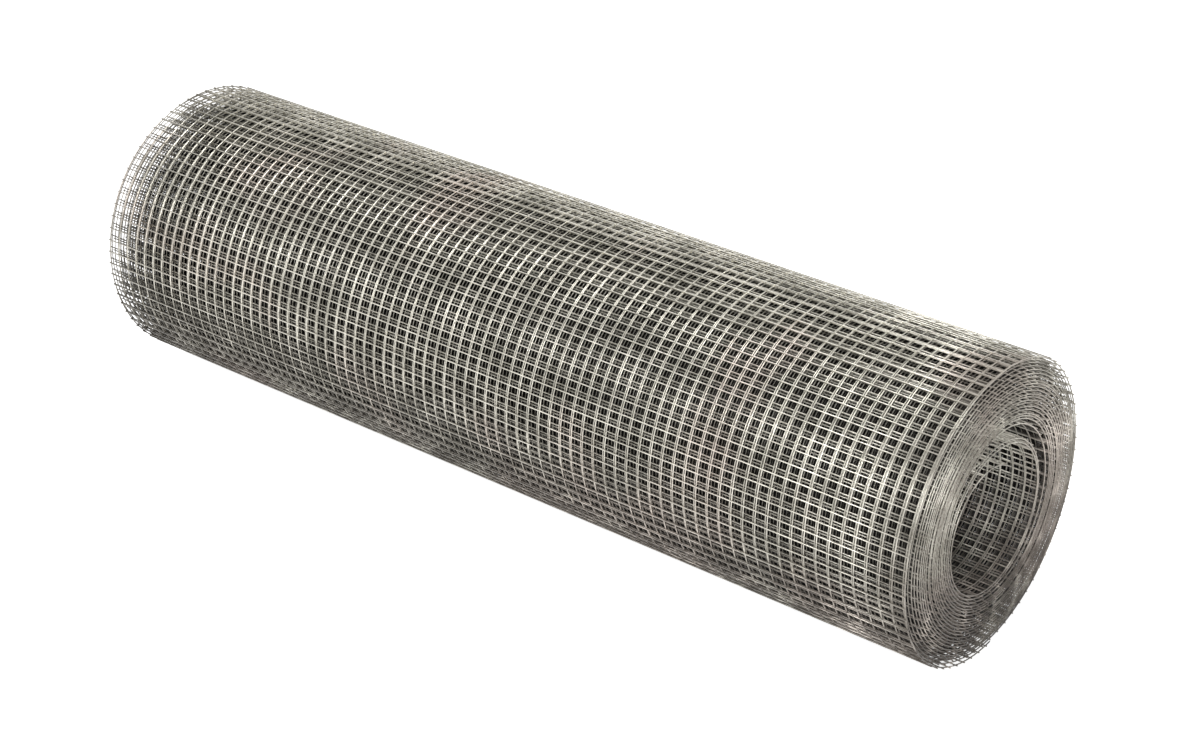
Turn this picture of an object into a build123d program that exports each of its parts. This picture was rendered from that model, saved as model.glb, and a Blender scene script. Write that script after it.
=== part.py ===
from build123d import *
from math import pi, sin
import os

# Roll of galvanised welded wire mesh, lying on its side.
#
# The mesh is one long sheet, wound round an open bore. It is modelled as one
# turned solid: the roll's section, with a crest for the edge of every turn on
# each end, is revolved about the roll's own axis.
#
# Frame: +X along the axis of the roll, +Z up, and the origin on the floor
# under the middle of the roll.

# Driving dimensions, millimetres

# the mesh sheet
wire_diameter = 1.2      # line wires and cross wires alike
cell_pitch = 13.0        # square cells, centre to centre of the wires
cell_count = 76          # cells from one edge of the sheet to the other
wire_end_reach = 4.0     # how far the cross wires stand out past the last line wire

# the winding
bore_diameter = 140.0    # the open eye of the roll, inside the first turn
turns = 24
turn_gap = 0.8           # slack between one turn and the next
edge_drift = 2.0         # how far the edges of the turns wander to either side
drift_turns = 16         # turns in which they wander to both sides and back

# What follows from them

# A turn is two wires thick. The cross wires lie inside and run along the
# roll; the line wires lie outside and run round it.
turn_thickness = 2 * wire_diameter
turn_pitch = turn_thickness + turn_gap

bore_radius = bore_diameter / 2
outer_radius = bore_radius + turns * turn_pitch - turn_gap

# From the middle of the sheet to the ends of its cross wires, and to the
# inner side of its last line wire
cross_wire_end = cell_count * cell_pitch / 2 + wire_end_reach
last_line_wire = cell_count * cell_pitch / 2 - wire_diameter / 2


def end_of_roll(side):
    """The edge of the section at one end of the roll, from the bore outwards.

    x runs along the axis and y is the radius. The cross wires' ends make a
    crest on the inside of every turn. From there the end falls back over the
    last line wire, and in the slack it rises steeply to the next turn.
    """
    edge = []
    for turn in range(turns):
        inside = bore_radius + turn * turn_pitch
        drift = edge_drift * sin(2 * pi * turn / drift_turns)
        edge.append((drift + side * cross_wire_end, inside))
        edge.append((drift + side * last_line_wire, inside + turn_thickness))
    return edge


right_end = end_of_roll(1)
left_end = end_of_roll(-1)

with BuildPart() as roll:
    with BuildSketch(Plane.XZ):
        with BuildLine():
            Polyline(*right_end, *reversed(left_end), close=True)
        make_face()
    revolve(axis=Axis.X)

# the outermost turn rests on the floor
mesh_roll = Pos(0, 0, outer_radius) * roll.part
mesh_roll.label = "mesh_roll"

# Files

os.makedirs("parts", exist_ok=True)
export_step(mesh_roll, "parts/mesh_roll.step")

print("roll", round(2 * outer_radius, 1), "mm across, bore", bore_diameter, "mm")
print("box", mesh_roll.bounding_box())
print("volume", round(mesh_roll.volume / 1e6, 3), "litres")
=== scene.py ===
import math

import bpy
import numpy as np
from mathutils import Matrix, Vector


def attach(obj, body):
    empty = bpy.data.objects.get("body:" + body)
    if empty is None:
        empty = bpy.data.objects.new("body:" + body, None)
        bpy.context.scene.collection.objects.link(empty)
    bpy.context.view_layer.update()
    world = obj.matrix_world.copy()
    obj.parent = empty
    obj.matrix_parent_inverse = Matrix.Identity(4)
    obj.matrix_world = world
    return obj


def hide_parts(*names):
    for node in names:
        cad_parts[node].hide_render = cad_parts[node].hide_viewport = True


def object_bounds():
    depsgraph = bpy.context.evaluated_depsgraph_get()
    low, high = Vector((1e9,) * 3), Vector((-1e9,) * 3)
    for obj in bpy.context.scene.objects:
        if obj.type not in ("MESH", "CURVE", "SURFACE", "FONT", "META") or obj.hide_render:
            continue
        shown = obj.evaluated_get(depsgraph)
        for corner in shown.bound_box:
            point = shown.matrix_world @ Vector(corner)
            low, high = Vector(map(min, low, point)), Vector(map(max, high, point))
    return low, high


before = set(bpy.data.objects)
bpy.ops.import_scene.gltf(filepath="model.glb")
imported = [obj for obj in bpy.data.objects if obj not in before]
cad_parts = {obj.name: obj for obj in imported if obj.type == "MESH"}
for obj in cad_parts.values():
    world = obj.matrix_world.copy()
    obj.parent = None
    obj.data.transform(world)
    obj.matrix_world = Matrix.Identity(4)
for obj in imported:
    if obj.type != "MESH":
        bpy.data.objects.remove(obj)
cad_low, cad_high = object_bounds()


# The winding
# The roll is one sheet of welded wire mesh, 1 m wide and about 16 m long. It is wound from its
# inner edge, which hangs loose in the eye of the roll, to its outer edge, which lies under the
# roll at the back. The winding is the line that the sheet follows, seen from the end.

roll_radius = (cad_high[2] - cad_low[2]) / 2
roll_width = cad_high[0] - cad_low[0]

wire = 0.0012       # thickness of the line wires and of the cross wires
cell = 0.013        # from the middle of one wire to the middle of the next
cells_across = 76   # from one long edge of the sheet to the other

# degrees are counted from the back of the roll (+Y) over its top
inner_edge = math.radians(70)
outer_edge = math.radians(280)
turns = 23 + (outer_edge - inner_edge) / math.tau
steps_a_turn = 72

# The first three turns are slack: they lie against the others at the lower front, and stand off
# at the upper back. How far they stand off is given at so many turns from the inner edge.
slack_turns = [0.0, 0.35, 0.8, 1.05, 1.8, 2.05, 2.8, 3.1]
slack = [0.0166, 0.0100, 0.0055, 0.0069, 0.0062, 0.0061, 0.0020, 0.0]
slack_towards = math.radians(45)
tight_radius = 0.0858   # of the first turn that isn't slack

# A turn is round where it is seen, and climbs on to the next one at the lower back.
climb_start = math.radians(290)
climb = math.radians(120)

dice = np.random.default_rng(7)


def uneven(longest, count, size):
    """A smooth random line along the sheet: waves of up to `longest` turns, `size` high in all."""
    each_to_the_next = 0.62
    waves = longest * each_to_the_next ** np.arange(count)
    starts = dice.uniform(0, math.tau, count)
    heights = size * waves / waves.sum()
    return lambda turn: sum(
        h * np.sin(math.tau * turn / w + s) for h, w, s in zip(heights, waves, starts)
    )


turn = np.linspace(0, turns, int(turns * steps_a_turn) + 1)
angle = inner_edge + math.tau * turn

# how many turns up the sheet has climbed
passed = (angle - climb_start) / math.tau
rise = np.clip((passed - np.floor(passed)) * math.tau / climb, 0, 1)
climbed = np.floor(passed) + rise * rise * (3 - 2 * rise)

# The line runs between the two layers of wire, so the line wires stand out beyond it.
outside = roll_radius - 1.25 * wire
pitch = (outside - tight_radius) / (climbed[-1] - np.interp(slack_turns[-1], turn, climbed))
winding_radius = outside - pitch * (climbed[-1] - climbed)

# No two turns lie at quite the same distance, but the inner edge and the last turn lie evenly.
looseness = uneven(longest=5.3, count=7, size=0.0008)
fade_in = np.clip(turn, 0, 1)
fade_out = np.clip((turns - 1 - turn) / 2, 0, 1)
winding_radius += looseness(turn) * fade_in * fade_out
winding_radius -= np.interp(turn, slack_turns, slack) * (1 + np.cos(angle - slack_towards))

# The line is drawn flat, with the roll's axis upright, because that is how a sheet is wound.
# Its own X and Y become the frame's Y and Z once the roll is laid down.
line = bpy.data.curves.new("winding", "CURVE")
line.dimensions = "2D"
spline = line.splines.new("POLY")
spline.points.add(len(turn) - 1)
points = np.column_stack(
    [winding_radius * np.cos(angle), winding_radius * np.sin(angle), 0 * turn, 0 * turn + 1]
)
spline.points.foreach_set("co", points.ravel())
winding = bpy.data.objects.new("winding", line)
bpy.context.collection.objects.link(winding)

strides = np.hypot(*np.diff(points[:, :2], axis=0).T)
along = np.concatenate([[0], np.cumsum(strides)])
sheet_cells = int(along[-1] / cell)


# Galvanised wire
# Steel wire, welded and then dipped in zinc. The zinc has weathered to a satin grey, in brighter
# and duller patches, with a painted pink reflection here and there. The bottom of the roll is
# painted darker and browner, as painted shade and a painted reflection from below. The ends
# carry painted shade in patches, and the turns inside the roll are painted dark as painted shade.

dull_zinc = (0.56, 0.54, 0.47, 1)
bright_zinc = (0.84, 0.81, 0.72, 1)
# patches of this are a painted pink reflection of the surroundings
pink_painted_reflection = (0.84, 0.73, 0.66, 1)
grey_oxide = (0.22, 0.20, 0.17, 1)
# painted shade at the ends of the roll, dark brown
end_painted_shade = (0.12, 0.095, 0.07, 1)
# painted shade and a painted brown reflection from below, on the bottom of the roll
bottom_painted_shade = (0.07, 0.054, 0.041, 1)
# painted shade between the inner turns of the roll
inner_painted_shade = (0.010, 0.009, 0.008, 1)

bottom_shade_height = 0.19    # up to which the bottom carries painted shade and a painted reflection
end_shade_width = 0.05    # of the painted shade at each end
eye_radius = 0.074    # of the opening that the slack turns leave


class Shade:
    """One socket of the wire's material. Sums, differences and products add Math nodes."""

    def __init__(self, tree, socket):
        self.tree = tree
        self.socket = socket

    def node(self, kind, settings=(), **inputs):
        made = self.tree.nodes.new(kind)
        for name, value in dict(settings).items():
            setattr(made, name, value)
        for name, value in inputs.items():
            key = int(name[1:]) if name[1:].isdigit() else name
            if isinstance(value, Shade):
                self.tree.links.new(value.socket, made.inputs[key])
            else:
                made.inputs[key].default_value = value
        return made

    def math(self, operation, first, second=0.0):
        made = self.node("ShaderNodeMath", {"operation": operation}, i0=first, i1=second)
        return Shade(self.tree, made.outputs[0])

    def __add__(self, other):
        return self.math("ADD", self, other)

    def __sub__(self, other):
        return self.math("SUBTRACT", self, other)

    def __rsub__(self, other):
        return self.math("SUBTRACT", other, self)

    def __mul__(self, other):
        return self.math("MULTIPLY", self, other)

    def __abs__(self):
        return self.math("ABSOLUTE", self)

    def root(self):
        return self.math("SQRT", self)

    def least(self, other):
        return self.math("MINIMUM", self, other)

    __radd__ = __add__
    __rmul__ = __mul__

    def between(self, low, high):
        """0 where the shade is below low, 1 above high, smooth between."""
        made = self.node(
            "ShaderNodeMapRange", {"interpolation_type": "SMOOTHSTEP"}, i0=self, i1=low, i2=high
        )
        return Shade(self.tree, made.outputs[0])

    def mix(self, dark, light):
        """dark where the shade is 0 and light where it is 1."""
        made = self.node("ShaderNodeMix", {"data_type": "RGBA"}, i0=self, i6=dark, i7=light)
        return Shade(self.tree, made.outputs[2])


def galvanised(name):
    material = bpy.data.materials.new(name)
    material.use_nodes = True
    tree = material.node_tree
    shader = tree.nodes["Principled BSDF"]
    place = Shade(tree, tree.nodes.new("ShaderNodeTexCoord").outputs["Object"])

    def blotches(size, detail=2.0):
        made = place.node("ShaderNodeTexNoise", Vector=place, Scale=1 / size, Detail=detail)
        return Shade(tree, made.outputs["Fac"])

    axes = place.node("ShaderNodeSeparateXYZ", Vector=place)
    along_roll, across, height = (Shade(tree, axes.outputs[n]) for n in "XYZ")

    zinc = blotches(0.035).between(0.35, 0.65).mix(dull_zinc, bright_zinc)
    # pink patches: a painted reflection
    pink_reflection_mask = blotches(0.16).between(0.50, 0.66) * 0.6
    zinc = pink_reflection_mask.mix(zinc, pink_painted_reflection)
    oxide = blotches(0.004, detail=3.0).between(0.52, 0.70) * 0.5
    zinc = oxide.mix(zinc, grey_oxide)

    # the ends are painted darker and browner in patches, as painted shade, and the bottom of the
    # roll is painted darker and browner, as painted shade and a painted reflection from below
    from_end = roll_width / 2 - abs(along_roll)
    end_shade_mask = (1 - from_end.between(0.004, end_shade_width)) * blotches(0.03).between(0.2, 0.6) * 0.5
    zinc = end_shade_mask.mix(zinc, end_painted_shade)
    # darker and browner low down: painted shade and a painted reflection from below
    bottom_shade_mask = (1 - height.between(0.03, bottom_shade_height)) * blotches(0.02).between(0.15, 0.60) * 0.9
    zinc = bottom_shade_mask.mix(zinc, bottom_painted_shade)

    # The turns inside the roll are painted dark: painted shade between the turns. How deep a wire
    # lies is counted from the outside of the roll, from its eye and from its ends.
    above_axis = height - roll_radius
    from_axis = (across * across + above_axis * above_axis).root()
    deep = (roll_radius - from_axis).least(from_axis - eye_radius).least(from_end)
    inside = deep.between(0.002, 0.020) * 0.98
    zinc = inside.mix(zinc, inner_painted_shade)

    rough = blotches(0.006, detail=3.0) * 0.25 + 0.2
    # less metallic under the painted shade at the bottom and at the ends
    metal = (0.9 - bottom_shade_mask) * (1 - end_shade_mask * 0.7)
    grain = blotches(0.0015, detail=3.0)
    bump = place.node("ShaderNodeBump", Strength=0.5, Distance=0.0003, Height=grain)
    tree.links.new(zinc.socket, shader.inputs["Base Color"])
    tree.links.new(rough.socket, shader.inputs["Roughness"])
    tree.links.new(metal.socket, shader.inputs["Metallic"])
    tree.links.new(bump.outputs["Normal"], shader.inputs["Normal"])
    return material


zinc_wire = galvanised("galvanised_wire")


# The sheet
# Line wires run along the sheet and cross wires from edge to edge under them, in square cells. The
# sheet is laid out flat, with the cross wires below, and then wound, so that the line wires end
# up outside. It is made in lengths that join up, because one mesh would be too heavy.

wire_end_reach = 0.001   # of a cross wire past the middle of the last line wire
sunk = 0.05              # how far each wire lies in the other, in wire thicknesses
bends_across = 7         # pieces of a cross wire, because it isn't quite straight
lump_radius = 0.0009     # of the zinc on a crossing
lump_height = 0.0009


def repeat(piece, count, offset, joined=False):
    copies = piece.modifiers.new("copies", "ARRAY")
    copies.use_relative_offset = False
    copies.use_constant_offset = True
    copies.constant_offset_displace = offset
    copies.count = count
    copies.use_merge_vertices = joined
    copies.merge_threshold = wire / 20
    bpy.context.view_layer.objects.active = piece
    bpy.ops.object.modifier_apply(modifier=copies.name)


def stretch_of_wire(sides, length, place, turned, filled):
    """A wire that runs along X, or along Z where it isn't turned.

    Its corners stand out so far that it looks, on the whole, as thick as a round wire.
    """
    bpy.ops.object.select_all(action="DESELECT")
    bpy.ops.mesh.primitive_cylinder_add(
        vertices=sides,
        radius=wire / 2 * (math.pi / sides) / math.sin(math.pi / sides),
        depth=length,
        end_fill_type="NGON" if filled else "NOTHING",
        location=place,
        rotation=(0, math.pi / 2, 0) if turned else (0, 0, math.pi / 4),
    )
    bpy.ops.object.transform_apply()
    return bpy.context.object


def line_wires(start, count, sides):
    """All the line wires of a length of sheet: one cell's length of wire, repeated both ways."""
    middle = ((start + 0.5) * cell, wire * (0.5 - sunk), -cells_across * cell / 2)
    wires = stretch_of_wire(sides, cell, middle, turned=True, filled=False)
    repeat(wires, count, (cell, 0, 0), joined=True)
    bpy.ops.object.mode_set(mode="EDIT")
    bpy.ops.mesh.select_all(action="SELECT")
    bpy.ops.mesh.fill_holes(sides=sides)
    bpy.ops.object.mode_set(mode="OBJECT")
    repeat(wires, cells_across + 1, (0, 0, cell))
    return wires


def cross_wires(start, count, sides):
    """One cross wire at the middle of each cell's length, divided so that it can bend."""
    length = cells_across * cell + 2 * wire_end_reach
    middle = ((start + 0.5) * cell, wire * (sunk - 0.5), 0)
    wires = stretch_of_wire(sides, length, middle, turned=False, filled=True)
    bpy.ops.object.mode_set(mode="EDIT")
    bpy.ops.mesh.select_mode(type="EDGE")
    bpy.ops.mesh.select_all(action="DESELECT")
    bpy.ops.object.mode_set(mode="OBJECT")
    for edge in wires.data.edges:
        ends = [wires.data.vertices[v].co.z for v in edge.vertices]
        edge.select = abs(ends[0] - ends[1]) > length / 2
    bpy.ops.object.mode_set(mode="EDIT")
    bpy.ops.mesh.subdivide(number_cuts=bends_across - 1)
    bpy.ops.object.mode_set(mode="OBJECT")
    repeat(wires, count, (cell, 0, 0))
    return wires


def welds(start, count):
    """The lump of zinc on each crossing, which only the outermost turn shows."""
    first = ((start + 0.5) * cell, wire - lump_height / 2, -cells_across * cell / 2)
    bpy.ops.object.select_all(action="DESELECT")
    bpy.ops.mesh.primitive_cone_add(
        vertices=4,
        radius1=lump_radius,
        depth=lump_height,
        location=first,
        rotation=(-math.pi / 2, 0, 0),
    )
    bpy.ops.object.transform_apply()
    lumps = bpy.context.object
    repeat(lumps, count, (cell, 0, 0))
    repeat(lumps, cells_across + 1, (0, 0, cell))
    return lumps


# The sheet wanders along the roll's axis as it is wound, most of all in the last turns. How far
# it has wandered is given at so many turns from the inner edge.
drift_at = [0, 4, 10, 15, 18, 20.3, 21.5, 22.9, 23.08, 23.3, 23.6]
drift = [0.0015, 0.0025, 0.0032, 0.0026, 0.001, -0.002, -0.0035, -0.003, 0.001, 0.001, -0.0035]
unsteady = uneven(longest=2.3, count=5, size=0.0005)

dent_depth = 0.00022
flat_edge = 0.4   # turns without dents, at each edge of the sheet


def disturb(piece):
    """Shifts the flat sheet sideways a little and presses shallow dents into it."""
    flat = np.empty(len(piece.data.vertices) * 3, np.float32)
    piece.data.vertices.foreach_get("co", flat)
    flat = flat.reshape(-1, 3)
    at = np.interp(flat[:, 0], along, turn)
    flat[:, 2] += np.interp(at, drift_at, drift) + unsteady(at)
    x, z = flat[:, 0], flat[:, 2]
    dents = np.sin(x * 23 + 3 * np.sin(z * 9)) * np.sin(z * 17 + 2 * np.sin(x * 5))
    inside = np.clip((turns - at) / flat_edge, 0, 1) * np.clip(at / flat_edge, 0, 1)
    flat[:, 1] += dent_depth * (dents - 0.6) * inside
    piece.data.vertices.foreach_set("co", flat.ravel())


def wind(name, start, end, sides, welded=False):
    """A length of the sheet, from one cell to another, wound into its turns and laid on the floor."""
    count = end - start
    wires = [line_wires(start, count, sides), cross_wires(start, count, sides=4)]
    if welded:
        wires.append(welds(start, count))
    for layer in wires:
        layer.select_set(True)
    bpy.ops.object.join()
    piece = bpy.context.object
    piece.name = piece.data.name = name
    disturb(piece)
    wound = piece.modifiers.new("wound", "CURVE")
    wound.object = winding
    wound.deform_axis = "POS_X"
    bpy.ops.object.modifier_apply(modifier=wound.name)
    # lay the roll down: its axis along X, on the floor
    flat = np.empty(len(piece.data.vertices) * 3, np.float32)
    piece.data.vertices.foreach_get("co", flat)
    y, z, x = flat.reshape(-1, 3).T
    laid = np.column_stack([x, y, z + roll_radius])
    piece.data.vertices.foreach_set("co", laid.ravel())
    piece.data.update()
    bpy.ops.object.shade_smooth()
    piece.data.materials.append(zinc_wire)
    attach(piece, "root")
    return piece


def cell_at(turn_number):
    return int(np.interp(turn_number, turn, along) / cell)


# The wires that are seen best, in the eye and on the outside, are the roundest.
loose_end = cell_at(slack_turns[-1])
outside_start = cell_at(turns - 1.05)
middle = np.linspace(loose_end, outside_start, 5).astype(int)

lengths = [wind("eye_turns", 0, loose_end, sides=6)]
for number, (start, end) in enumerate(zip(middle, middle[1:]), 1):
    lengths.append(wind(f"middle_turns_{number}", start, end, sides=4))
lengths.append(wind("outside_turn", outside_start, sheet_cells, sides=6, welded=True))
for length in lengths:
    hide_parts("mesh_roll")
bpy.data.objects.remove(winding)


# Floor, light and camera
# A plain white floor, a white room seen only past the roll and in its zinc, a lamp behind the
# camera and a broad one over the roll. The floor keeps the roll's shadow.

floor_size = 12.0
bpy.ops.object.select_all(action="DESELECT")
bpy.ops.mesh.primitive_plane_add(size=floor_size, location=(0, 0, 0))
floor = bpy.context.object
floor.name = "floor"
white = bpy.data.materials.new("white_floor")
white.use_nodes = True
nodes, links = white.node_tree.nodes, white.node_tree.links
paint = nodes["Principled BSDF"]
paint.inputs["Base Color"].default_value = (0.86, 0.86, 0.86, 1)
paint.inputs["Roughness"].default_value = 0.9
paint.inputs["Specular IOR Level"].default_value = 0.1
floor.data.materials.append(white)


def seen_or_mirrored(nodes, links, strength):
    """`strength` for what the camera sees or the metal mirrors, and 0 for the light in the room."""
    rays = nodes.new("ShaderNodeLightPath")
    total = None
    for name in ("Is Camera Ray", "Is Glossy Ray", "Is Transmission Ray"):
        add = nodes.new("ShaderNodeMath")
        add.operation = "MULTIPLY_ADD"
        add.use_clamp = strength == 1
        links.new(rays.outputs[name], add.inputs[0])
        add.inputs[1].default_value = strength
        add.inputs[2].default_value = 0
        if total:
            links.new(total, add.inputs[2])
        total = add.outputs[0]
    return total


# the floor as the camera sees it is a little brighter than the lamps make it
glow = seen_or_mirrored(nodes, links, 0.8)
paint.inputs["Emission Color"].default_value = (1, 1, 1, 1)
links.new(glow, paint.inputs["Emission Strength"])

world = bpy.data.worlds.new("room")
bpy.context.scene.world = world
world.use_nodes = True
nodes, links = world.node_tree.nodes, world.node_tree.links
room = nodes["Background"]
room.inputs["Color"].default_value = (1, 1, 1, 1)
room.inputs["Strength"].default_value = 0.3
seen = nodes.new("ShaderNodeBackground")
seen.inputs["Color"].default_value = (1, 1, 1, 1)
seen.inputs["Strength"].default_value = 1.0
choose = nodes.new("ShaderNodeMixShader")
links.new(seen_or_mirrored(nodes, links, 1), choose.inputs[0])
links.new(room.outputs[0], choose.inputs[1])
links.new(seen.outputs[0], choose.inputs[2])
links.new(choose.outputs[0], nodes["World Output"].inputs["Surface"])


def lamp(name, place, aim, size, power):
    bpy.ops.object.light_add(type="AREA", location=place)
    light = bpy.context.object
    light.name = name
    light.data.shape = "DISK"
    light.data.size = size
    light.data.energy = power
    to = np.array(aim) - np.array(place)
    light.rotation_euler = (
        math.acos(-to[2] / np.linalg.norm(to)),
        0,
        math.atan2(to[1], to[0]) - math.pi / 2,
    )


lamp("key", (3.0, -5.2, 3.5), (0, 0, 0.15), 1.5, 180)
lamp("top", (-0.5, -0.8, 5.0), (0, 0, 0.15), 2.5, 120)

# The camera stands to the front right of the roll, above it, with a long lens.
bpy.ops.object.camera_add(
    location=(1.475, -1.761, 1.347),
    rotation=(math.radians(90 - 28.16), 0, math.radians(39.01)),
)
camera = bpy.context.object
camera.data.lens = 79.3
camera.data.sensor_width = 36
camera.data.clip_start = 0.05
bpy.context.scene.camera = camera
bpy.context.scene.view_settings.view_transform = "Standard"
